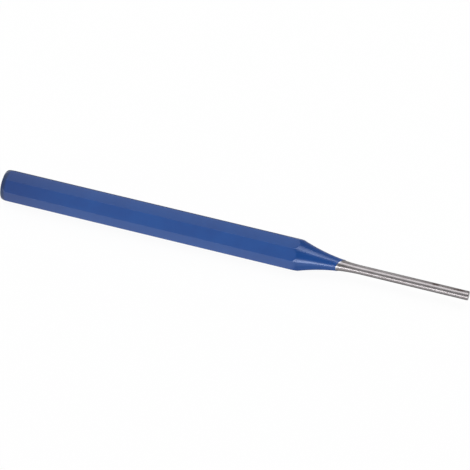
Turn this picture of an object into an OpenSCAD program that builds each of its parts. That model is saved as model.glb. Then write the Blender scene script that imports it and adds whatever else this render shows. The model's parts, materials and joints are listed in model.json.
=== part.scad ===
// Pin punch: a one-piece steel driving punch with an octagonal shank, a hollow-ground
// taper and a parallel round pin, lacquered everywhere but on the pin.
// The tool lies along X on one flat, struck end at -X, working tip at +X.

/* [Tool] */
// Overall length, from the lacquered struck face to the working tip
overall_l = 155; // [130:1:200]

/* [Shank] */
// Width of the bare octagonal bar across its flats
bar_af = 9.8; // [8:0.1:14]
// How far the bar's rolled corners stand back from sharp ones
corner_back = 0.04; // [0.02:0.01:0.3]

/* [Head] */
// Length of the rounded edge round the struck face, along the tool
head_edge_l = 1.7; // [1:0.1:2.4]
// Radius of that edge, larger than its length, so that a flat face is left
head_edge_r = 2.6; // [2.5:0.1:5]

/* [Taper and pin] */
// Diameter of the pin, ground a little under its nominal 3 mm so that it doesn't bind
pin_d = 2.95; // [1.8:0.05:6]
// Length of the pin that is parallel
pin_l = 34.6; // [15:0.2:60]
// Radius of the grinding wheel's hollow between the shank and the pin
hollow_r = 60.5; // [30:0.5:90]
// Chamfer at the working tip
tip_chamfer = 0.2; // [0.05:0.05:0.5]

/* [Lacquer] */
// Thickness of the lacquer
coat_t = 0.1; // [0.06:0.01:0.3]
// Length of bare steel, from the tip to the lacquer's edge on the tool's axis
bare_l = 41.6; // [36:0.1:60]
// How far the lacquer's edge leans out of square, in degrees
edge_lean = 34; // [0:1:38]
// Where the lacquer reaches furthest down, in degrees from the tool's top to its back
edge_turn = 95; // [0:5:355]

/* [Hidden] */
$fn = 180;

sides = 8;
quarter_turn = 90;
flat_turn = 180 / sides;      // brings a flat, not a corner, to the bottom
overrun = 1;                  // how far a cutting form runs past what it cuts
axis_h = bar_af / 2 + coat_t; // height of the tool's axis over the surface it lies on

// Distance from the axis to the rolled corners of a bar that is grown by the lacquer
function corner_r(grow) = bar_af / 2 / cos(flat_turn) - corner_back + grow;

// Radius of the pin, grown by the lacquer
function pin_r(grow) = pin_d / 2 + grow;

// The hollow keeps its centre when the tool is grown, so its radius shrinks
function taper_l(grow) =
    let (arc = hollow_r - grow, drop = corner_r(grow) - pin_r(grow))
    sqrt(pow(arc, 2) - pow(arc - drop, 2));

// Stations along the tool, from the bare struck face at 0
tip_s = overall_l - coat_t;
pin_s = tip_s - pin_l;
coat_s = tip_s - bare_l;

// Cross section of the octagonal bar, corners still sharp
module octagon(grow) {
    rotate(flat_turn)
        circle(r = (bar_af / 2 + grow) / cos(flat_turn), $fn = sides);
}

// Half outline of the shank, from the struck face to where the hollow reaches the corners
module shank_outline(grow) {
    edge_r = head_edge_r + grow;
    difference() {
        translate([0, -grow])
            square([corner_r(grow), pin_s - taper_l(grow) + grow]);
        difference() {
            translate([corner_r(grow) - edge_r, -grow - overrun])
                square([edge_r + overrun, head_edge_l + grow + overrun]);
            translate([corner_r(grow) - edge_r, head_edge_l])
                circle(r = edge_r);
        }
    }
}

// Half outline of the taper: a block hollowed by the round of the grinding wheel
module taper_outline(grow) {
    difference() {
        translate([0, pin_s - taper_l(grow)])
            square([corner_r(grow), taper_l(grow)]);
        translate([hollow_r + pin_r(0), pin_s])
            circle(r = hollow_r - grow);
    }
}

// Half outline of the pin, with its chamfered tip
module pin_outline(grow) {
    polygon([
        [0, pin_s],
        [pin_r(grow), pin_s],
        [pin_r(grow), tip_s - tip_chamfer],
        [pin_r(grow) - tip_chamfer, tip_s],
        [0, tip_s]
    ]);
}

// The tool's solid form, or that form grown all over by the lacquer's thickness.
// The turned outline cuts the bar's flats in scallops at the head and at the taper.
module punch_form(grow) {
    intersection() {
        translate([0, 0, -grow - overrun])
            linear_extrude(tip_s + grow + 2 * overrun)
                octagon(grow);
        rotate_extrude() {
            shank_outline(grow);
            taper_outline(grow);
            pin_outline(grow);
        }
    }
}

// Everything beyond the lacquer's leaning edge, on the side of the pin
module bare_side() {
    reach = bare_l + bar_af;
    translate([0, 0, coat_s])
        rotate(-edge_turn)
            rotate([0, edge_lean, 0])
                translate([-reach, -reach, 0])
                    cube([2 * reach, 2 * reach, reach]);
}

// Lays what stands on its struck face down on one flat, centred over the origin
module laid() {
    translate([coat_t - overall_l / 2, 0, axis_h])
        rotate([0, quarter_turn, 0])
            children();
}

module steel_punch() {
    color("silver")
        laid()
            punch_form(0);
}

module lacquer_coat() {
    color("royalblue")
        laid()
            difference() {
                punch_form(coat_t);
                bare_side();
                punch_form(0);
            }
}

steel_punch();
lacquer_coat();
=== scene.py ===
"""The looks of a pin punch: its blue lacquer, its ground steel and the studio it is shown in."""

import json
import math
from collections import namedtuple

import bpy
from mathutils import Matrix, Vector


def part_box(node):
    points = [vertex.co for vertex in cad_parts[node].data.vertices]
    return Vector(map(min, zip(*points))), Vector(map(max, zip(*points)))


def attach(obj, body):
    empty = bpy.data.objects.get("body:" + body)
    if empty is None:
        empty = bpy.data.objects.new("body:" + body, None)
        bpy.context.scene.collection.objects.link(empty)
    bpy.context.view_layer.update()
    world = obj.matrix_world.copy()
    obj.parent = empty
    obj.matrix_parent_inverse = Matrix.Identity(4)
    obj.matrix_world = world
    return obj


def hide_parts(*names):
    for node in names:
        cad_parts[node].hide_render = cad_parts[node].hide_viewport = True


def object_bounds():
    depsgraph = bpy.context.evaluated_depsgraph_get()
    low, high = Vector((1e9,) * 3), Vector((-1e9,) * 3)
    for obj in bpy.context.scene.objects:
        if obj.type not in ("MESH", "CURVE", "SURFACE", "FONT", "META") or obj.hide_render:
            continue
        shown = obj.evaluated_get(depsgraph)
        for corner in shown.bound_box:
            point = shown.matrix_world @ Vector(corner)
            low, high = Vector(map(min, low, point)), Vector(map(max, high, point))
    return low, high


bl_info = {
    "name": "Pin Punch Looks",
    "version": (1, 0, 0),
    "blender": (4, 5, 0),
    "location": "3D Viewport > Sidebar > Punch",
    "description": "Makes the lacquered and ground surfaces of a pin punch, and its studio",
    "category": "Object",
}

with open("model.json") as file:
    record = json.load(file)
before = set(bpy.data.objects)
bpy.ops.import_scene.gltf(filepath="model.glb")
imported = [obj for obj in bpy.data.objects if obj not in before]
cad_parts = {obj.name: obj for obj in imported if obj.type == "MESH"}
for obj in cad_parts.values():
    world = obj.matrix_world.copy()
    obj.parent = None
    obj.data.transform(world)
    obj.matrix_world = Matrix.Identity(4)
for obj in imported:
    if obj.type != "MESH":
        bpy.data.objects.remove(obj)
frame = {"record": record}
CAD_LOW, CAD_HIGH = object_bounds()

MM = 0.001
BODY = "root"
STEEL_NODE = "steel_punch"
COAT_NODE = "lacquer_coat"
STEEL_LOW, STEEL_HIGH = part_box(STEEL_NODE)
COAT_LOW, COAT_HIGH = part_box(COAT_NODE)
PIN_MOUNT = next(m for m in frame["record"]["mounts"] if m["name"] == "pin")

FLATS = 8
FLAT_ANGLE = 2 * math.pi / FLATS
HALF_FLAT = FLAT_ANGLE / 2
COLUMNS_PER_FLAT = 24
FLAT_SHARE = 2 / 3           # share of those columns that lie on the flat, not on its rounds
MERGE_DISTANCE = 0.001 * MM

HEAD_CURVE = 1.25            # how fast the head's chamfer steepens towards the face
HEAD_RIM_SHARE = 0.08        # share of the chamfer's length that its rounded rim takes
RIM_TURN = math.radians(65)  # how far the rim turns before it runs into the chamfer
HEAD_GAP = 0.6 * MM          # from the head's last row to the shank's first
TAPER_GAP = 0.3 * MM         # from the shank's last row to the taper's first
LEAN_START = 0.3             # where the rows begin to lean, from the ridges to the edge
LIP_RUN = 6                  # film thicknesses over which the lacquer swells to its lip
WAVER_SEED = 3.0
WAVER_SCALE = 1.6            # of the noise, on a circle of radius 1 round the tool
RIM_ROWS = 6
LIP_ROWS = 9
TIP_ROWS = 6

STAIN_TURN = math.radians(12)  # where the pin's dark marks lie, from the top to the back
STAINS = ((66.7 * MM, 1.7 * MM), (74 * MM, 3 * MM))  # each one's middle and half length

# Kinds of node. A map range holds its value at 0, its two from values at 1 and 2, and its
# two to values at 3 and 4. A colour mix holds its factor at 0 and its colours at 6 and 7.
MATH = "ShaderNodeMath"
WHOLE_MATH = "FunctionNodeIntegerMath"
NOISE = "ShaderNodeTexNoise"
RANGE = "ShaderNodeMapRange"
MIX = "ShaderNodeMix"
JOIN = "ShaderNodeCombineXYZ"
SPLIT = "ShaderNodeSeparateXYZ"
VECTOR_MATH = "ShaderNodeVectorMath"
WHITE = (1, 1, 1, 1)

ROW_FIELDS = ("film", "hollow", "lean")
Row = namedtuple("Row", ("station", "radius") + ROW_FIELDS, defaults=(0, 0))
Lamp = namedtuple("Lamp", "name centre towards size level")

# The right-hand lamps are seen in the taper, the long left-hand ones in the shank and the pin
LAMPS = (
    Lamp("overhead", (0.32, 0.044, 0.849), (0.32, 0, 0), (0.4, 0.209), "overhead"),
    Lamp("rear", (0.32, 0.298, 0.796), (0.32, 0, 0), (0.4, 0.315), "rear"),
    Lamp("front", (0.32, -0.88, 0.078), (0.32, 0, 0.078), (0.4, 0.155), "front"),
    Lamp("overhead fill", (-0.24, -0.03, 0.849), (-0.24, 0, 0), (0.72, 0.552), "overhead_fill"),
    Lamp("front fill", (-0.24, -0.88, 0.036), (-0.24, 0, 0.036), (0.72, 0.07), "front_fill"),
    Lamp("head fill", (-0.58, -0.85, 0.32), (0, 0, 0), (0.44, 0.3), "head_fill"),
)


def length(name, description, millimetres, low=0.0):
    """A length property that is given in millimetres and held in metres."""
    return bpy.props.FloatProperty(
        name=name, description=description, default=millimetres * MM, min=low * MM,
        subtype="DISTANCE", unit="LENGTH", precision=5)


def turn(name, description, degrees):
    """An angle property that is given in degrees and held in radians."""
    return bpy.props.FloatProperty(
        name=name, description=description, default=math.radians(degrees),
        subtype="ANGLE", unit="ROTATION")


def share(name, description, default):
    """A property from 0 to 1."""
    return bpy.props.FloatProperty(
        name=name, description=description, default=default, min=0, max=1)


def level(name, description, default):
    """A light level, where 1 is white."""
    return bpy.props.FloatProperty(name=name, description=description, default=default, min=0)


def linear(hex_colour):
    """The linear colour, with alpha, of an sRGB hex value such as 1F4185."""
    parts = [int(hex_colour[i:i + 2], 16) / 255 for i in (0, 2, 4)]
    return [c / 12.92 if c <= 0.04045 else ((c + 0.055) / 1.055) ** 2.4 for c in parts] + [1.0]


def colour(name, description, hex_colour):
    """A colour property that is given as an sRGB hex value and held as a linear colour."""
    return bpy.props.FloatVectorProperty(
        name=name, description=description, default=linear(hex_colour), size=4, min=0, max=1,
        subtype="COLOR")


class PunchSizes(bpy.types.PropertyGroup):
    """Sizes of the steel and of the lacquer on it."""

    corner_radius: length("Corner radius", "Rounding of the bare bar's eight corners", 0.15)
    head_edge_length: length(
        "Head edge length", "Length of the soft chamfer round the struck face", 1.7)
    head_edge_depth: length(
        "Head edge depth", "How far the chamfer cuts the bar's corners back at the face", 0.63)
    hollow_radius: length(
        "Hollow radius", "Radius of the grinding wheel's hollow in the taper", 60.5)
    tip_chamfer: length("Tip chamfer", "Chamfer at the working tip", 0.2)
    bare_length: length(
        "Bare length", "Steel left bare, from the tip to the lacquer's edge", 41.6)
    edge_lean: turn("Edge lean", "How far the lacquer's edge leans out of square", 34)
    edge_turn: turn(
        "Edge turn", "Where the lacquer reaches furthest, from the top to the back", 95)
    edge_ripple: length("Edge ripple", "How far the lacquer's edge wavers", 0.09)
    lip_swell: length(
        "Lip swell", "How much thicker the lacquer is where it gathers at its edge", 0.03)
    ridge_blend: length(
        "Ridge blend", "Softness of the ridges where the taper cuts the flats", 0.14)
    taper_drift: length(
        "Taper drift", "How far the taper's wide end is ground off the bar's axis", 0.2)
    drift_turn: turn(
        "Drift turn", "Side on which that cuts deepest, from the top to the back", -45)
    crown: length("Crown", "How far the rolled flats bulge at their middle", 0.03)
    wave_height: length("Wave height", "How far the rolled flats are from true", 0.012)
    wave_length: length("Wave length", "Distance from one such wave to the next", 9)


class PunchFinish(bpy.types.PropertyGroup):
    """Colours of the lacquer and of the steel."""

    lacquer: colour("Lacquer", "Blue of the lacquer where it is even", "1C4687")
    lacquer_deep: colour("Deep lacquer", "Blue of the lacquer where it lies thicker", "1B4282")
    # Painted shade: the lacquer's colour towards the head, painted darker where the light falls
    # off
    lacquer_head_shade: colour(
        "Pooled lacquer", "Blue of the lacquer where it pools at the head", "163672")
    # Painted shade: the colour painted on the head's rounded edge, which faces away from the lamps
    lacquer_rim_shade: colour(
        "Thin lacquer", "Lacquer that runs thin over the head's edge", "152A4C")
    steel: colour("Steel", "Ground tool steel", "918D8E")
    steel_dull: colour("Dull steel", "Steel dulled by heat and handling", "817B7C")
    stain: colour("Stain", "Dark marks that hands and oil leave on bare steel", "4A3B37")
    # Painted highlight: a pale strip painted on the bare steel just beyond the lacquer's edge
    edge_highlight: colour(
        "Edge film", "Thin pale film on the steel just beyond the lacquer's edge", "C4CCD8")


class PunchStudio(bpy.types.PropertyGroup):
    """Floor, room, lamps and camera."""

    floor: colour("Floor", "Pale floor", "F4F4F4")
    floor_lift: share("Floor lift", "Share of plain white in the floor as it is seen", 0.93)
    floor_glow: share(
        "Floor glow", "Share of plain white in the floor as it is mirrored in the tool", 0.95)
    azimuth: turn(
        "Azimuth", "Camera's place round the tool, from the front towards the tip", 17.87)
    elevation: turn("Elevation", "Camera's height over the horizon", 48.2)
    distance: length("Distance", "From the camera to the middle of the tool", 750)
    lens: bpy.props.FloatProperty(name="Lens", description="Focal length in mm", default=180.4)
    shift_x: bpy.props.FloatProperty(
        name="Shift across", description="Camera shift across", default=0.0059)
    shift_y: bpy.props.FloatProperty(
        name="Shift up", description="Camera shift up", default=0.0086)
    room: level("Room", "Light of the room on its pale side, towards the head", 1.06)
    room_dark: level("Dark side", "Light of the room on its dark side, towards the tip", 0.11)
    overhead: level("Overhead", "Light of the lamp over the taper", 5.4)
    rear: level("Rear", "Light of the lamp over and behind the taper", 3.1)
    front: level("Front", "Light of the lamp low in front of the taper", 12.0)
    overhead_fill: level(
        "Overhead fill", "Light of the long lamp over the tool, towards the head", 2.45)
    front_fill: level(
        "Front fill", "Light of the long low lamp in front of the tool, towards the head", 11.0)
    head_fill: level("Head fill", "Light of the lamp in front of the head", 2.0)


def add_node(tree, kind, inputs=(), **settings):
    """Adds one node, sets its properties and fills its inputs with links or plain values."""
    node = tree.nodes.new(kind)
    for name, value in settings.items():
        setattr(node, name, value)
    for key, value in dict(inputs).items():
        if isinstance(value, bpy.types.NodeSocket):
            tree.links.new(value, node.inputs[key])
        else:
            node.inputs[key].default_value = value
    return node


def spread(start, end, count):
    """Evenly spaced values from start to end, both included."""
    return [start + (end - start) * (i / (count - 1)) for i in range(count)]


def flat_distance():
    """From the tool's axis to a flat of the bare bar."""
    return (STEEL_HIGH.z - STEEL_LOW.z) / 2


def axis_height():
    """Height of the tool's axis over the surface that it lies on."""
    return (COAT_HIGH.z + COAT_LOW.z) / 2


def film_thickness():
    """Thickness of the lacquer."""
    return STEEL_LOW.z - COAT_LOW.z


def pin_radius():
    """Radius of the parallel pin."""
    return PIN_MOUNT["dims"]["r_mm"] * MM


def pin_start(sizes):
    """Where the hollow runs out into the parallel pin, along the tool."""
    return STEEL_HIGH.x - sizes.tip_chamfer - PIN_MOUNT["dims"]["length_mm"] * MM


def clear_radius():
    """A turned radius that lies outside the octagonal bar, lacquer and all."""
    return (flat_distance() + 2 * film_thickness()) / math.cos(HALF_FLAT)


def hollow_station(sizes, film, radius):
    """Where the hollow, with a film on it, has a given radius."""
    arc = sizes.hollow_radius - film
    depth = pin_radius() + sizes.hollow_radius - radius
    return pin_start(sizes) - math.sqrt(arc ** 2 - depth ** 2)


def ease(value):
    """A smooth step from 0 to 1."""
    value = min(max(value, 0.0), 1.0)
    return value * value * (3 - 2 * value)


def head_rows(sizes, film, face_rows, edge_rows):
    """The struck face, its slightly rounded rim and the soft chamfer behind that."""
    face = STEEL_LOW.x - film
    reach = sizes.head_edge_length + film
    depth = sizes.head_edge_depth
    core = flat_distance() - sizes.corner_radius
    corner = core / math.cos(HALF_FLAT) + sizes.corner_radius + film
    chamfer = [Row(face + reach * (1 - left), corner - depth * left ** HEAD_CURVE, film)
               for left in spread(1 - HEAD_RIM_SHARE, 0, edge_rows)]
    rim = chamfer[0]
    rounding = (rim.station - face) / (1 - math.cos(RIM_TURN))
    flat_radius = rim.radius - rounding * math.sin(RIM_TURN)
    rows = [Row(face, radius, film) for radius in spread(0, flat_radius, face_rows)]
    for angle in spread(0, RIM_TURN, RIM_ROWS)[1:-1]:
        radius = rim.radius - rounding * (math.sin(RIM_TURN) - math.sin(angle))
        rows.append(Row(face + rounding * (1 - math.cos(angle)), radius, film))
    return rows + chamfer


def shank_rows(film, start, end, count):
    """The octagonal stretch, where the turned outline stays clear of the bar."""
    return [Row(x, clear_radius(), film) for x in spread(start, end, count)]


def hollow_rows(film, start, end, lean_start, lean_end, count, lip_swell=0.0):
    """The hollow-ground stretch, where the tree works the radius out of the station."""
    rows = []
    for x in spread(start, end, count):
        lean = ease((x - lean_start) / (lean_end - lean_start))
        swell = lip_swell * ease(1 - (lean_end - x) / (LIP_RUN * film)) if film else 0
        rows.append(Row(x, 0, film + swell, 1, lean))
    return rows


def coat_outline(sizes):
    """The lacquer's closed outline: over the head, down the taper, round its lip and back."""
    film = film_thickness()
    first = hollow_station(sizes, film, clear_radius())
    ridges_end = hollow_station(sizes, film, flat_distance())
    edge = coat_edge(sizes)
    leaning = ridges_end + LEAN_START * (edge - ridges_end), edge
    swelling = edge - LIP_RUN * film
    rows = head_rows(sizes, film, face_rows=8, edge_rows=20)
    rows += shank_rows(film, rows[-1].station + HEAD_GAP, first - TAPER_GAP, count=64)
    rows += hollow_rows(film, first, ridges_end, *leaning, count=44)
    rows += hollow_rows(film, ridges_end, swelling, *leaning, count=36)[1:]
    rows += hollow_rows(film, swelling, edge, *leaning, count=9,
                        lip_swell=sizes.lip_swell)[1:]
    lip = film + sizes.lip_swell
    for angle in spread(0, math.pi, LIP_ROWS)[1:]:
        thickness = lip / 2 * (1 + math.cos(angle))
        rows.append(Row(edge + lip / 2 * math.sin(angle), 0, thickness, 1, 1))
    inner = head_rows(sizes, 0, face_rows=6, edge_rows=10)
    inner += shank_rows(0, inner[-1].station + HEAD_GAP, first - TAPER_GAP, count=16)
    inner += hollow_rows(0, first, ridges_end, *leaning, count=22)
    inner += hollow_rows(0, ridges_end, edge, *leaning, count=16)[1:-1]
    return rows + inner[::-1]


def coat_edge(sizes):
    """Where the lacquer's edge crosses the tool's axis, along the tool."""
    return STEEL_HIGH.x - sizes.bare_length


def edge_radius(sizes):
    """Radius of the steel where the lacquer's edge crosses the tool's axis."""
    arc = math.sqrt(sizes.hollow_radius ** 2 - (pin_start(sizes) - coat_edge(sizes)) ** 2)
    return pin_radius() + sizes.hollow_radius - arc


def edge_reach(sizes):
    """How far the leaning edge runs from its middle, along the tool."""
    return edge_radius(sizes) * math.tan(sizes.edge_lean)


def steel_outline(sizes):
    """The steel's outline, from the middle of the struck face to the middle of the tip."""
    first = hollow_station(sizes, 0, clear_radius())
    ridges_end = hollow_station(sizes, 0, flat_distance())
    pin = pin_start(sizes)
    unleaning = pin, pin + MM  # the taper ends before any row would lean
    rows = head_rows(sizes, 0, face_rows=6, edge_rows=12)
    rows += shank_rows(0, rows[-1].station + HEAD_GAP, first - TAPER_GAP, count=24)
    rows += hollow_rows(0, first, ridges_end, *unleaning, count=24)
    rows += hollow_rows(0, ridges_end, pin, *unleaning, count=60)[1:]
    tip = STEEL_HIGH.x
    radius = pin_radius()
    chamfer = sizes.tip_chamfer
    rows += [Row(x, radius, 0) for x in spread(pin, tip - chamfer, count=60)[1:]]
    for angle in spread(0, math.pi / 2, TIP_ROWS)[1:]:
        left = radius - chamfer + chamfer * math.cos(angle)
        rows.append(Row(tip - chamfer + chamfer * math.sin(angle), left, 0))
    rows += [Row(tip, left, 0) for left in spread(radius - chamfer, 0, count=8)[1:]]
    return rows


def outline_object(name, rows):
    """A chain of points, one for each row, that the form tree turns about the tool's axis."""
    mesh = bpy.data.meshes.new(name)
    points = [(row.station, row.radius, 0) for row in rows]
    mesh.from_pydata(points, [(i, i + 1) for i in range(len(rows) - 1)], [])
    for field in ROW_FIELDS:
        attribute = mesh.attributes.new(field, "FLOAT", "POINT")
        attribute.data.foreach_set("value", [float(getattr(row, field)) for row in rows])
    made = bpy.data.objects.new(name, mesh)
    bpy.context.scene.collection.objects.link(made)
    return made


FORM_SIZES = (
    "Flat Distance", "Corner Radius", "Crown", "Ridge Blend", "Hollow Radius", "Pin Radius",
    "Pin Start", "Edge Lean", "Edge Turn", "Edge Ripple", "Taper Drift", "Drift Turn",
    "Drift End", "Wave Height", "Wave Length", "Axis Height", "Seed",
)


def row_nodes(tree, outline, row):
    """What the outline says of a row."""
    place = add_node(tree, "GeometryNodeInputPosition").outputs[0]
    point = add_node(tree, "GeometryNodeSampleIndex", {0: outline, 1: place, 2: row},
                     data_type="FLOAT_VECTOR").outputs[0]
    point = add_node(tree, SPLIT, {0: point}).outputs
    sampled = {"station": point["X"], "radius": point["Y"]}
    for field in ROW_FIELDS:
        value = add_node(tree, "GeometryNodeInputNamedAttribute", {0: field},
                         data_type="FLOAT").outputs[0]
        sampled[field] = add_node(tree, "GeometryNodeSampleIndex",
                                  {0: outline, 1: value, 2: row}, data_type="FLOAT").outputs[0]
    return sampled


def section_nodes(tree, given, column, film):
    """The octagonal bar at a column: its radius there, and the angle from the top."""
    # In the frame of the nearest flat, a point lies so far out from the axis and so far
    # sideways, with the corners' rounds taking a fixed share of the columns
    apothem = add_node(tree, MATH, {0: given["Flat Distance"], 1: film},
                       operation="ADD").outputs[0]
    rounding = add_node(tree, MATH, {0: given["Corner Radius"], 1: film},
                        operation="ADD").outputs[0]
    core = add_node(tree, MATH, {0: apothem, 1: rounding}, operation="SUBTRACT").outputs[0]
    steps = add_node(tree, MATH, {0: column, 1: COLUMNS_PER_FLAT}, operation="DIVIDE").outputs[0]
    flat = add_node(tree, MATH, {0: steps}, operation="FLOOR").outputs[0]
    across = add_node(tree, MATH, {0: steps, 1: flat}, operation="SUBTRACT").outputs[0]
    across = add_node(tree, MATH, {0: across, 1: 2, 2: -1}, operation="MULTIPLY_ADD").outputs[0]
    side = add_node(tree, MATH, {0: across}, operation="SIGN").outputs[0]
    across = add_node(tree, MATH, {0: across}, operation="ABSOLUTE").outputs[0]
    on_flat = add_node(tree, RANGE, {0: across, 1: 0, 2: FLAT_SHARE, 3: 0,
                                     4: math.tan(HALF_FLAT)}).outputs[0]
    on_round = add_node(tree, RANGE, {0: across, 1: FLAT_SHARE, 2: 1, 3: 0,
                                      4: HALF_FLAT}).outputs[0]
    round_cosine = add_node(tree, MATH, {0: on_round}, operation="COSINE").outputs[0]
    round_sine = add_node(tree, MATH, {0: on_round}, operation="SINE").outputs[0]
    round_sine = add_node(tree, MATH, {0: round_sine, 1: rounding},
                          operation="MULTIPLY").outputs[0]
    outward = add_node(tree, MATH, {0: rounding, 1: round_cosine, 2: core},
                       operation="MULTIPLY_ADD").outputs[0]

    # The flats are slightly crowned, so they lie lower beside their middle
    fall = add_node(tree, RANGE, {0: across, 1: 0, 2: FLAT_SHARE}).outputs[0]
    fall = add_node(tree, MATH, {0: fall, 1: 2}, operation="POWER").outputs[0]
    fall = add_node(tree, MATH, {0: fall, 1: given["Crown"]}, operation="MULTIPLY").outputs[0]
    outward = add_node(tree, MATH, {0: outward, 1: fall}, operation="SUBTRACT").outputs[0]
    sideways = add_node(tree, MATH, {0: core, 1: on_flat, 2: round_sine},
                        operation="MULTIPLY_ADD").outputs[0]
    sideways = add_node(tree, MATH, {0: sideways, 1: side}, operation="MULTIPLY").outputs[0]
    off_flat = add_node(tree, MATH, {0: sideways, 1: outward}, operation="ARCTAN2").outputs[0]
    angle = add_node(tree, MATH, {0: flat, 1: FLAT_ANGLE, 2: off_flat},
                     operation="MULTIPLY_ADD").outputs[0]
    section = add_node(tree, JOIN, {0: outward, 1: sideways}).outputs[0]
    bar = add_node(tree, VECTOR_MATH, {0: section}, operation="LENGTH").outputs["Value"]
    return bar, angle


def station_nodes(tree, given, sampled, angle, sine, cosine):
    """The row's station, moved along the tool as the lacquer's edge leans and wavers."""
    around = add_node(tree, JOIN, {0: cosine, 1: sine, 2: given["Seed"]}).outputs[0]
    waver = add_node(tree, NOISE, {"Vector": around, "Scale": WAVER_SCALE,
                                   "Detail": 2}).outputs[0]
    waver = add_node(tree, RANGE, {0: waver, 3: -1, 4: 1}).outputs[0]
    waver = add_node(tree, MATH, {0: waver, 1: given["Edge Ripple"]},
                     operation="MULTIPLY").outputs[0]
    facing = add_node(tree, MATH, {0: angle, 1: given["Edge Turn"]},
                      operation="SUBTRACT").outputs[0]
    facing = add_node(tree, MATH, {0: facing}, operation="COSINE").outputs[0]
    moved = add_node(tree, MATH, {0: facing, 1: given["Edge Lean"], 2: waver},
                     operation="MULTIPLY_ADD").outputs[0]
    return add_node(tree, MATH, {0: moved, 1: sampled["lean"], 2: sampled["station"]},
                    operation="MULTIPLY_ADD").outputs[0]


def hollow_nodes(tree, given, film, station, angle):
    """Radius in the hollow: the round of the grinding wheel less the film, slightly off axis."""
    wheel = add_node(tree, MATH, {0: given["Hollow Radius"], 1: film},
                     operation="SUBTRACT").outputs[0]
    wheel = add_node(tree, MATH, {0: wheel, 1: 2}, operation="POWER").outputs[0]
    back = add_node(tree, MATH, {0: given["Pin Start"], 1: station},
                    operation="SUBTRACT").outputs[0]
    back = add_node(tree, MATH, {0: back, 1: 0}, operation="MAXIMUM").outputs[0]
    back = add_node(tree, MATH, {0: back, 1: 2}, operation="POWER").outputs[0]
    depth = add_node(tree, MATH, {0: wheel, 1: back}, operation="SUBTRACT").outputs[0]
    depth = add_node(tree, MATH, {0: depth}, operation="SQRT").outputs[0]
    wheel_centre = add_node(tree, MATH, {0: given["Pin Radius"], 1: given["Hollow Radius"]},
                            operation="ADD").outputs[0]
    ground = add_node(tree, MATH, {0: wheel_centre, 1: depth}, operation="SUBTRACT").outputs[0]

    # One side of the taper's wide end is cut deeper
    off_side = add_node(tree, MATH, {0: angle, 1: given["Drift Turn"]},
                        operation="SUBTRACT").outputs[0]
    off_side = add_node(tree, MATH, {0: off_side}, operation="COSINE").outputs[0]
    drift = add_node(tree, MATH, {0: off_side, 1: given["Taper Drift"]},
                     operation="MULTIPLY").outputs[0]
    fade = add_node(tree, RANGE, {0: ground, 1: given["Drift End"], 2: given["Flat Distance"]},
                    interpolation_type="SMOOTHSTEP").outputs[0]
    drift = add_node(tree, MATH, {0: drift, 1: fade}, operation="MULTIPLY").outputs[0]
    return add_node(tree, MATH, {0: ground, 1: drift}, operation="SUBTRACT").outputs[0]


def place_nodes(tree, given, station, radius, sine, cosine):
    """The point at a station, so far from the tool's axis, on the side that the angle gives."""
    y = add_node(tree, MATH, {0: radius, 1: sine}, operation="MULTIPLY").outputs[0]
    z = add_node(tree, MATH, {0: radius, 1: cosine, 2: given["Axis Height"]},
                 operation="MULTIPLY_ADD").outputs[0]
    return add_node(tree, JOIN, {0: station, 1: y, 2: z}).outputs[0]


def wave_nodes(tree, given, place, radius):
    """How deep the bar's slight waves sink its surface, which they leave alone on the pin."""
    waves = add_node(tree, MATH, {0: 1, 1: given["Wave Length"]}, operation="DIVIDE").outputs[0]
    uneven = add_node(tree, NOISE, {"Vector": place, "Scale": waves, "Detail": 1}).outputs[0]
    uneven = add_node(tree, MATH, {0: uneven, 1: given["Wave Height"]},
                      operation="MULTIPLY").outputs[0]
    on_bar = add_node(tree, RANGE, {0: radius, 1: given["Pin Radius"],
                                    2: given["Flat Distance"]}).outputs[0]
    return add_node(tree, MATH, {0: uneven, 1: on_bar}, operation="MULTIPLY").outputs[0]


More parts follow.
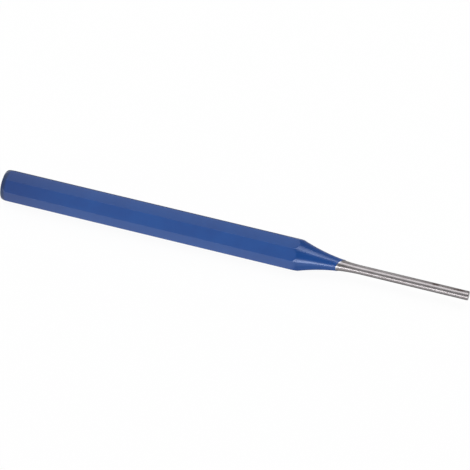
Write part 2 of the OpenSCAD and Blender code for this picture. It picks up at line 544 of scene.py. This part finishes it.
def punch_form_tree():
    """A tree that turns an outline about the tool's axis and planes it to the octagonal bar."""
    tree = bpy.data.node_groups.new("Turned and planed bar", "GeometryNodeTree")
    tree.interface.new_socket(name="Outline", in_out="INPUT", socket_type="NodeSocketGeometry")
    for name in FORM_SIZES:
        tree.interface.new_socket(name=name, in_out="INPUT", socket_type="NodeSocketFloat")
    tree.interface.new_socket(name="Material", in_out="INPUT", socket_type="NodeSocketMaterial")
    tree.interface.new_socket(name="Form", in_out="OUTPUT", socket_type="NodeSocketGeometry")
    given = add_node(tree, "NodeGroupInput").outputs

    # One row of the grid for each point of the outline, one column for each step round the tool
    columns = FLATS * COLUMNS_PER_FLAT + 1
    rows = add_node(tree, "GeometryNodeAttributeDomainSize", {0: given["Outline"]},
                    component="MESH").outputs[0]
    grid = add_node(tree, "GeometryNodeMeshGrid", {2: rows, 3: columns}).outputs[0]
    index = add_node(tree, "GeometryNodeInputIndex").outputs[0]
    row = add_node(tree, WHOLE_MATH, {0: index, 1: columns}, operation="DIVIDE_FLOOR").outputs[0]
    column = add_node(tree, WHOLE_MATH, {0: index, 1: columns}, operation="MODULO").outputs[0]

    # The turned form and the bar, as two radii at the same station and angle
    sampled = row_nodes(tree, given["Outline"], row)
    bar, angle = section_nodes(tree, given, column, sampled["film"])
    sine = add_node(tree, MATH, {0: angle}, operation="SINE").outputs[0]
    cosine = add_node(tree, MATH, {0: angle}, operation="COSINE").outputs[0]
    station = station_nodes(tree, given, sampled, angle, sine, cosine)
    ground = hollow_nodes(tree, given, sampled["film"], station, angle)
    turned = add_node(tree, MIX, {0: sampled["hollow"], 2: sampled["radius"], 3: ground},
                      data_type="FLOAT").outputs[0]

    # The lesser of the two, with a soft ridge where they meet, less the waves
    radius = add_node(tree, MATH, {0: turned, 1: bar, 2: given["Ridge Blend"]},
                      operation="SMOOTH_MIN").outputs[0]
    place = place_nodes(tree, given, station, radius, sine, cosine)
    sink = wave_nodes(tree, given, place, radius)
    radius = add_node(tree, MATH, {0: radius, 1: sink}, operation="SUBTRACT").outputs[0]
    place = place_nodes(tree, given, station, radius, sine, cosine)

    shaped = add_node(tree, "GeometryNodeSetPosition", {0: grid, 2: place}).outputs[0]
    closed = add_node(tree, "GeometryNodeMergeByDistance",
                      {0: shaped, 2: MERGE_DISTANCE}).outputs[0]
    smooth = add_node(tree, "GeometryNodeSetShadeSmooth", {0: closed, 2: True}).outputs[0]
    real = add_node(tree, "GeometryNodeRealizeInstances", {0: smooth}).outputs[0]
    dressed = add_node(tree, "GeometryNodeSetMaterial", {0: real, 2: given["Material"]}).outputs[0]
    add_node(tree, "NodeGroupOutput", {0: dressed})
    return tree


def formed(name, rows, material, sizes, wave_height):
    """A plain mesh piece: the outline's rows, turned and planed by the form tree."""
    outline = outline_object(name + "_outline", rows)
    modifier = outline.modifiers.new("Form", "NODES")
    modifier.node_group = bpy.data.node_groups.get("Turned and planed bar") or punch_form_tree()
    values = {
        "Flat Distance": flat_distance(),
        "Corner Radius": sizes.corner_radius,
        "Crown": sizes.crown,
        "Ridge Blend": sizes.ridge_blend,
        "Hollow Radius": sizes.hollow_radius,
        "Pin Radius": pin_radius(),
        "Pin Start": pin_start(sizes),
        "Edge Lean": edge_reach(sizes),
        "Edge Turn": sizes.edge_turn,
        "Edge Ripple": sizes.edge_ripple,
        "Taper Drift": sizes.taper_drift,
        "Drift Turn": sizes.drift_turn,
        "Drift End": edge_radius(sizes),
        "Wave Height": wave_height,
        "Wave Length": sizes.wave_length,
        "Axis Height": axis_height(),
        "Seed": WAVER_SEED,
        "Material": material,
    }
    for item in modifier.node_group.interface.items_tree:
        if item.in_out == "INPUT" and item.name in values:
            modifier[item.identifier] = values[item.name]
    evaluated = outline.evaluated_get(bpy.context.evaluated_depsgraph_get())
    mesh = bpy.data.meshes.new_from_object(evaluated)
    mesh.name = name
    piece = bpy.data.objects.new(name, mesh)
    bpy.context.scene.collection.objects.link(piece)
    outline.modifiers.remove(modifier)
    bpy.data.objects.remove(outline)
    return piece


def new_material(name):
    """An empty node material: its tree, its shader and its object coordinates."""
    material = bpy.data.materials.new(name)
    material.use_nodes = True
    tree = material.node_tree
    tree.nodes.clear()
    shader = add_node(tree, "ShaderNodeBsdfPrincipled")
    add_node(tree, "ShaderNodeOutputMaterial", {"Surface": shader.outputs[0]})
    place = add_node(tree, "ShaderNodeTexCoord").outputs["Object"]
    return material, tree, shader, place


def lacquer_material(finish):
    """Stoving lacquer, dipped: a glossy, deep blue film whose surface has a faint orange peel."""
    material, tree, shader, place = new_material("Dipped gloss lacquer")
    cloud_size = 7 * MM
    head_shade_length = 32 * MM
    most_head_shade = 0.9
    face_radius = 3.6 * MM
    rim_radius = 4.5 * MM
    rim_start = COAT_LOW.x + 0.9 * MM
    rim_end = COAT_LOW.x + 1.9 * MM
    most_rim_shade = 0.9
    peel_size = 1.3 * MM
    peel_depth = 0.004 * MM
    sheen_tint = (0.72, 0.8, 1, 1)

    # Faint clouds, where the film lies thicker
    cloud = add_node(tree, NOISE, {"Vector": place, "Scale": 1 / cloud_size,
                                   "Detail": 2}).outputs[0]
    cloud = add_node(tree, RANGE, {0: cloud, 1: 0.35, 2: 0.65}).outputs[0]
    tone = add_node(tree, MIX, {0: cloud, 6: finish.lacquer, 7: finish.lacquer_deep},
                    data_type="RGBA").outputs[2]

    # Painted shade: towards the head the lacquer is painted darker, where the light falls off
    parts = add_node(tree, SPLIT, {0: place}).outputs
    head_shade = add_node(tree, RANGE, {0: parts["X"], 1: COAT_LOW.x,
                                    2: COAT_LOW.x + head_shade_length, 3: most_head_shade, 4: 0},
                      interpolation_type="SMOOTHSTEP").outputs[0]
    tone = add_node(tree, MIX, {0: head_shade, 6: tone, 7: finish.lacquer_head_shade},
                    data_type="RGBA").outputs[2]

    # Painted shade: the head's rounded edge, which faces away from the lamps, is painted darker,
    # but not the middle of the struck face
    from_axis = add_node(tree, "ShaderNodeMapping", {0: place, 1: (0, 0, -axis_height()),
                                                     3: (0, 1, 1)}).outputs[0]
    out = add_node(tree, VECTOR_MATH, {0: from_axis}, operation="LENGTH").outputs["Value"]
    out = add_node(tree, RANGE, {0: out, 1: face_radius, 2: rim_radius},
                   interpolation_type="SMOOTHSTEP").outputs[0]
    thin = add_node(tree, RANGE, {0: parts["X"], 1: rim_start, 2: rim_end, 3: most_rim_shade,
                                  4: 0}, interpolation_type="SMOOTHSTEP").outputs[0]
    thin = add_node(tree, MATH, {0: thin, 1: out}, operation="MULTIPLY").outputs[0]
    tone = add_node(tree, MIX, {0: thin, 6: tone, 7: finish.lacquer_rim_shade},
                    data_type="RGBA").outputs[2]

    peel = add_node(tree, NOISE, {"Vector": place, "Scale": 1 / peel_size,
                                  "Detail": 1}).outputs[0]
    bump = add_node(tree, "ShaderNodeBump", {"Height": peel, "Distance": peel_depth,
                                             "Strength": 1}).outputs[0]
    tree.links.new(tone, shader.inputs["Base Color"])
    tree.links.new(bump, shader.inputs["Normal"])
    shader.inputs["Roughness"].default_value = 0.26
    shader.inputs["IOR"].default_value = 1.55
    shader.inputs["Specular Tint"].default_value = sheen_tint
    return material


def dark_marks(tree, centred, mottle):
    """How dark the steel is: two marks along the pin's top, and less so all the way to the tip."""
    mark_low = 0.91 * pin_radius()
    mark_high = 0.98 * pin_radius()
    most_marked = 0.85
    darkening_start = 55 * MM
    darkening_end = 66 * MM
    darkening = 0.35
    marked_side = (0, math.sin(STAIN_TURN), math.cos(STAIN_TURN))
    side = add_node(tree, VECTOR_MATH, {0: centred, 1: marked_side},
                    operation="DOT_PRODUCT").outputs["Value"]
    along = add_node(tree, RANGE, {0: side, 1: mark_low, 2: mark_high}).outputs[0]
    patches = add_node(tree, RANGE, {0: mottle, 1: 0.3, 2: 0.45, 3: 0,
                                     4: most_marked}).outputs[0]
    station = add_node(tree, SPLIT, {0: centred}).outputs["X"]
    stain = add_node(tree, RANGE, {0: station, 1: darkening_start, 2: darkening_end, 3: 0,
                                   4: darkening}).outputs[0]
    for middle, half in STAINS:
        off = add_node(tree, MATH, {0: station, 1: middle}, operation="SUBTRACT").outputs[0]
        off = add_node(tree, MATH, {0: off}, operation="ABSOLUTE").outputs[0]
        mark = add_node(tree, RANGE, {0: off, 1: 0.4 * half, 2: half, 3: 1, 4: 0}).outputs[0]
        stain = add_node(tree, MATH, {0: stain, 1: mark}, operation="MAXIMUM").outputs[0]
    stain = add_node(tree, MATH, {0: stain, 1: along}, operation="MULTIPLY").outputs[0]
    return add_node(tree, MATH, {0: stain, 1: patches}, operation="MULTIPLY").outputs[0]


def painted_edge_highlight(tree, centred, sizes):
    """How strong the painted highlight is: a pale strip on the bare steel that follows the
    lacquer's leaning edge.
    """
    highlight_start = 0.1 * MM
    highlight_end = 0.6 * MM
    highlight_strength = 0.5
    parts = add_node(tree, SPLIT, {0: centred}).outputs
    angle = add_node(tree, MATH, {0: parts["Y"], 1: parts["Z"]}, operation="ARCTAN2").outputs[0]
    angle = add_node(tree, MATH, {0: angle, 1: sizes.edge_turn}, operation="SUBTRACT").outputs[0]
    facing = add_node(tree, MATH, {0: angle}, operation="COSINE").outputs[0]
    edge = add_node(tree, MATH, {0: facing, 1: edge_reach(sizes), 2: coat_edge(sizes)},
                    operation="MULTIPLY_ADD").outputs[0]
    beyond = add_node(tree, MATH, {0: parts["X"], 1: edge}, operation="SUBTRACT").outputs[0]
    return add_node(tree, RANGE, {0: beyond, 1: highlight_start, 2: highlight_end, 3: highlight_strength,
                                  4: 0}).outputs[0]


def steel_material(finish, sizes):
    """Tool steel, ground between centres: a satin metal with fine lines and dark marks."""
    material, tree, shader, place = new_material("Ground tool steel")
    line_gap = 0.12 * MM  # a few times that of real grinding, which is too fine to show
    line_length = 3 * MM
    line_depth = 0.0025 * MM
    smoothest = 0.3
    roughest = 0.38
    mottle_size = 2.5 * MM
    most_dull = 0.6
    fine = (1 / line_gap, 1 / line_length, 1 / line_length)
    centred = add_node(tree, "ShaderNodeMapping", {0: place, 1: (0, 0, -axis_height())}).outputs[0]
    lines = add_node(tree, "ShaderNodeMapping", {0: centred, 3: fine}).outputs[0]
    lines = add_node(tree, NOISE, {"Vector": lines, "Scale": 1, "Detail": 3}).outputs[0]
    mottle = add_node(tree, NOISE, {"Vector": centred, "Scale": 1 / mottle_size,
                                    "Detail": 4}).outputs[0]
    dull = add_node(tree, RANGE, {0: mottle, 1: 0.4, 2: 0.7, 3: 0, 4: most_dull}).outputs[0]
    tone = add_node(tree, MIX, {0: dull, 6: finish.steel, 7: finish.steel_dull},
                    data_type="RGBA").outputs[2]
    stain = dark_marks(tree, centred, mottle)
    tone = add_node(tree, MIX, {0: stain, 6: tone, 7: finish.stain}, data_type="RGBA").outputs[2]
    # Painted highlight: a pale strip on the steel just beyond the lacquer's edge
    film = painted_edge_highlight(tree, centred, sizes)
    tone = add_node(tree, MIX, {0: film, 6: tone, 7: finish.edge_highlight},
                    data_type="RGBA").outputs[2]
    rough = add_node(tree, RANGE, {0: lines, 1: 0.3, 2: 0.7, 3: smoothest,
                                   4: roughest}).outputs[0]
    bump = add_node(tree, "ShaderNodeBump", {"Height": lines, "Distance": line_depth,
                                             "Strength": 1}).outputs[0]
    tree.links.new(tone, shader.inputs["Base Color"])
    tree.links.new(rough, shader.inputs["Roughness"])
    tree.links.new(bump, shader.inputs["Normal"])
    shader.inputs["Metallic"].default_value = 1.0
    return material


class PUNCH_OT_steel(bpy.types.Operator):
    """Make the steel punch: octagonal bar, hollow-ground taper and pin, in one piece"""

    bl_idname = "punch.steel"
    bl_label = "Steel punch"

    def execute(self, context):
        sizes = context.scene.punch_sizes
        material = steel_material(context.scene.punch_finish, sizes)
        piece = formed("steel_bar_and_pin", steel_outline(sizes), material, sizes, 0.0)
        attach(piece, BODY)
        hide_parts(STEEL_NODE)
        return {"FINISHED"}


class PUNCH_OT_lacquer(bpy.types.Operator):
    """Make the lacquer: a closed film over the head, the shank and most of the taper"""

    bl_idname = "punch.lacquer"
    bl_label = "Lacquer coat"

    def execute(self, context):
        sizes = context.scene.punch_sizes
        material = lacquer_material(context.scene.punch_finish)
        piece = formed("blue_lacquer", coat_outline(sizes), material, sizes, sizes.wave_height)
        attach(piece, BODY)
        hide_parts(COAT_NODE)
        return {"FINISHED"}


def mirrored_shade_in_front(tree, place):
    """Where the sheet gets its painted shade, under and in front of the tool, further out at the
    taper.
    """
    taper_middle = 27 * MM
    wide_half = 5 * MM
    narrow_half = 8.5 * MM
    wide_border = -11 * MM
    narrow_border = -4.5 * MM
    softness = 2 * MM
    off_taper = add_node(tree, MATH, {0: place["X"], 1: taper_middle},
                         operation="SUBTRACT").outputs[0]
    off_taper = add_node(tree, MATH, {0: off_taper}, operation="ABSOLUTE").outputs[0]
    border = add_node(tree, RANGE, {0: off_taper, 1: wide_half, 2: narrow_half,
                                    3: wide_border, 4: narrow_border}).outputs[0]
    near = add_node(tree, MATH, {0: place["Y"], 1: border}, operation="SUBTRACT").outputs[0]
    return add_node(tree, RANGE, {0: near, 1: -softness, 2: softness}).outputs[0]


def mirrored_shade_behind(tree, place):
    """How pale the painted shade on the sheet behind the tool is: least at the shank, most at the
    taper.
    """
    shank_end = 12 * MM
    taper_start = 22 * MM
    behind_shank = 0.03
    behind_taper = 0.4
    taper_end = 36 * MM
    pin_begins = 44 * MM
    pin_share = 0.6
    grey = add_node(tree, RANGE, {0: place["X"], 1: shank_end, 2: taper_start,
                                  3: behind_shank, 4: behind_taper}).outputs[0]
    on_pin = add_node(tree, RANGE, {0: place["X"], 1: taper_end, 2: pin_begins, 3: 1,
                                    4: pin_share}).outputs[0]
    return add_node(tree, MATH, {0: grey, 1: on_pin}, operation="MULTIPLY").outputs[0]


def floor_material(studio):
    """Satin white sheet with some light of its own, so that it is white with a soft shadow."""
    material = bpy.data.materials.new("Satin white sheet")
    material.use_nodes = True
    tree = material.node_tree
    tree.nodes.clear()
    rays = add_node(tree, "ShaderNodeLightPath").outputs
    place = add_node(tree, "ShaderNodeTexCoord").outputs["Object"]
    place = add_node(tree, SPLIT, {0: place}).outputs
    # Painted shade: the grey that the sheet shows near the tool, as mirrored in it
    mirrored_shade_grey = (0.3, 0.3, 0.3, 1)
    dark_end = 77 * MM
    pale_start = 79 * MM
    softness = 3 * MM
    glow_start = -60 * MM
    glow_full = -20 * MM
    roughness = 0.12

    # Only as mirrored in the tool, and not beyond its tip, the sheet has two darker parts: painted
    # reflections of shade in front of and behind the tool
    beside = add_node(tree, RANGE, {0: place["X"], 1: dark_end, 2: pale_start, 3: 1,
                                    4: 0}).outputs[0]
    beside = add_node(tree, MATH, {0: beside, 1: rays["Is Glossy Ray"]},
                      operation="MULTIPLY").outputs[0]
    near = mirrored_shade_in_front(tree, place)
    near = add_node(tree, MATH, {0: near, 1: beside}, operation="MULTIPLY").outputs[0]
    tone = add_node(tree, MIX, {0: near, 6: studio.floor, 7: mirrored_shade_grey},
                    data_type="RGBA").outputs[2]
    behind = add_node(tree, RANGE, {0: place["Y"], 1: -softness, 2: softness}).outputs[0]
    behind = add_node(tree, MATH, {0: behind, 1: beside}, operation="MULTIPLY").outputs[0]
    grey = mirrored_shade_behind(tree, place)
    tone = add_node(tree, MIX, {0: behind, 6: tone, 7: grey}, data_type="RGBA").outputs[2]

    # Its own light: all over as the camera sees it, and as the tool mirrors it where it is pale
    pale = add_node(tree, RANGE, {0: place["Y"], 1: glow_start, 2: glow_full}).outputs[0]
    pale = add_node(tree, MATH, {0: pale, 1: near}, operation="SUBTRACT").outputs[0]
    lift = add_node(tree, MATH, {0: pale, 1: studio.floor_glow}, operation="MULTIPLY").outputs[0]
    seen = add_node(tree, MATH, {0: rays["Is Camera Ray"], 1: studio.floor_lift},
                    operation="MULTIPLY").outputs[0]
    lift = add_node(tree, MATH, {0: lift, 1: seen}, operation="MAXIMUM").outputs[0]
    sheet = add_node(tree, "ShaderNodeBsdfPrincipled", {"Base Color": tone,
                                                        "Roughness": roughness}).outputs[0]
    glow = add_node(tree, "ShaderNodeEmission", {0: WHITE, 1: 1.0}).outputs[0]
    both = add_node(tree, "ShaderNodeMixShader", {0: lift, 1: sheet, 2: glow}).outputs[0]
    add_node(tree, "ShaderNodeOutputMaterial", {"Surface": both})
    return material


def add_floor(scene, studio):
    """The sheet that the tool lies on."""
    mesh = bpy.data.meshes.new("floor")
    half = 3.0
    corners = [(-half, -half, 0), (half, -half, 0), (half, half, 0), (-half, half, 0)]
    mesh.from_pydata(corners, [], [(0, 1, 2, 3)])
    mesh.materials.append(floor_material(studio))
    floor = bpy.data.objects.new("floor", mesh)
    scene.collection.objects.link(floor)
    floor.location.z = CAD_LOW.z


def add_lamp(scene, lamp, radiance):
    """A long soft lamp of even light, whose long side runs along the tool."""
    data = bpy.data.lights.new(lamp.name, "AREA")
    data.shape = "RECTANGLE"
    data.size, data.size_y = lamp.size
    data.energy = radiance * math.pi * lamp.size[0] * lamp.size[1]
    made = bpy.data.objects.new(lamp.name, data)
    scene.collection.objects.link(made)
    made.location = lamp.centre
    aim = Vector(lamp.towards) - Vector(lamp.centre)
    made.rotation_euler = aim.to_track_quat("-Z", "Y").to_euler()


def add_room(scene, studio):
    """The room: plain white to the camera, and paler or darker as it lights the tool."""
    world = bpy.data.worlds.new("surroundings")
    world.use_nodes = True
    tree = world.node_tree
    tree.nodes.clear()
    towards = add_node(tree, "ShaderNodeTexCoord").outputs["Generated"]
    towards = add_node(tree, SPLIT, {0: towards}).outputs
    pale_side = -0.26
    dark_side = 0.1
    high_up = 0.54
    low_down = 0.74
    high_share = 0.65
    low_share = 1.5

    # It is pale towards the head and dark towards the tip
    room = add_node(tree, RANGE, {0: towards["X"], 1: pale_side, 2: dark_side,
                                  3: studio.room, 4: studio.room_dark}).outputs[0]

    # Behind the tool it grows paler from high up to low down, which the crowned top flat shows
    behind = add_node(tree, RANGE, {0: towards["Y"], 1: high_up, 2: low_down, 3: high_share,
                                    4: low_share}).outputs[0]
    room = add_node(tree, MATH, {0: room, 1: behind}, operation="MULTIPLY").outputs[0]
    rays = add_node(tree, "ShaderNodeLightPath").outputs
    strength = add_node(tree, MIX, {0: rays["Is Camera Ray"], 2: room, 3: 1.0},
                        data_type="FLOAT").outputs[0]
    light = add_node(tree, "ShaderNodeBackground", {0: WHITE, 1: strength}).outputs[0]
    add_node(tree, "ShaderNodeOutputWorld", {0: light})
    scene.world = world


def add_camera(scene, studio):
    """The camera, at the photographed angle."""
    data = bpy.data.cameras.new("camera")
    data.lens = studio.lens
    data.shift_x = studio.shift_x
    data.shift_y = studio.shift_y
    data.clip_start = 0.01
    camera = bpy.data.objects.new("camera", data)
    scene.collection.objects.link(camera)
    back = Vector((math.sin(studio.azimuth) * math.cos(studio.elevation),
                   -math.cos(studio.azimuth) * math.cos(studio.elevation),
                   math.sin(studio.elevation)))
    camera.location = (CAD_LOW + CAD_HIGH) / 2 + back * studio.distance
    camera.rotation_euler = (-back).to_track_quat("-Z", "Y").to_euler()
    scene.camera = camera


class PUNCH_OT_studio(bpy.types.Operator):
    """Make the studio: pale floor, soft lamps, surroundings and camera"""

    bl_idname = "punch.studio"
    bl_label = "Studio"

    def execute(self, context):
        scene = context.scene
        studio = scene.punch_studio
        add_floor(scene, studio)
        for lamp in LAMPS:
            add_lamp(scene, lamp, getattr(studio, lamp.level))
        add_room(scene, studio)
        add_camera(scene, studio)
        scene.view_settings.view_transform = "Standard"
        return {"FINISHED"}


class PUNCH_PT_panel(bpy.types.Panel):
    """Lists what makes the punch and its studio."""

    bl_idname = "PUNCH_PT_panel"
    bl_label = "Pin punch"
    bl_space_type = "VIEW_3D"
    bl_region_type = "UI"
    bl_category = "Punch"

    def draw(self, context):
        for operator in OPERATORS:
            self.layout.operator(operator.bl_idname)
        for name in GROUPS:
            group = getattr(context.scene, name)
            for field in group.__annotations__:
                self.layout.prop(group, field)


OPERATORS = (PUNCH_OT_steel, PUNCH_OT_lacquer, PUNCH_OT_studio)
GROUPS = {"punch_sizes": PunchSizes, "punch_finish": PunchFinish, "punch_studio": PunchStudio}


def register():
    """Registers the classes and puts the property groups on the scene."""
    for name, group in GROUPS.items():
        bpy.utils.register_class(group)
        setattr(bpy.types.Scene, name, bpy.props.PointerProperty(type=group))
    for operator in OPERATORS:
        bpy.utils.register_class(operator)
    bpy.utils.register_class(PUNCH_PT_panel)


def unregister():
    """Takes back what register did."""
    bpy.utils.unregister_class(PUNCH_PT_panel)
    for operator in reversed(OPERATORS):
        bpy.utils.unregister_class(operator)
    for name, group in reversed(GROUPS.items()):
        delattr(bpy.types.Scene, name)
        bpy.utils.unregister_class(group)


def main():
    """Makes the whole scene."""
    register()
    bpy.ops.punch.steel()
    bpy.ops.punch.lacquer()
    bpy.ops.punch.studio()


if __name__ == "__main__":
    main()
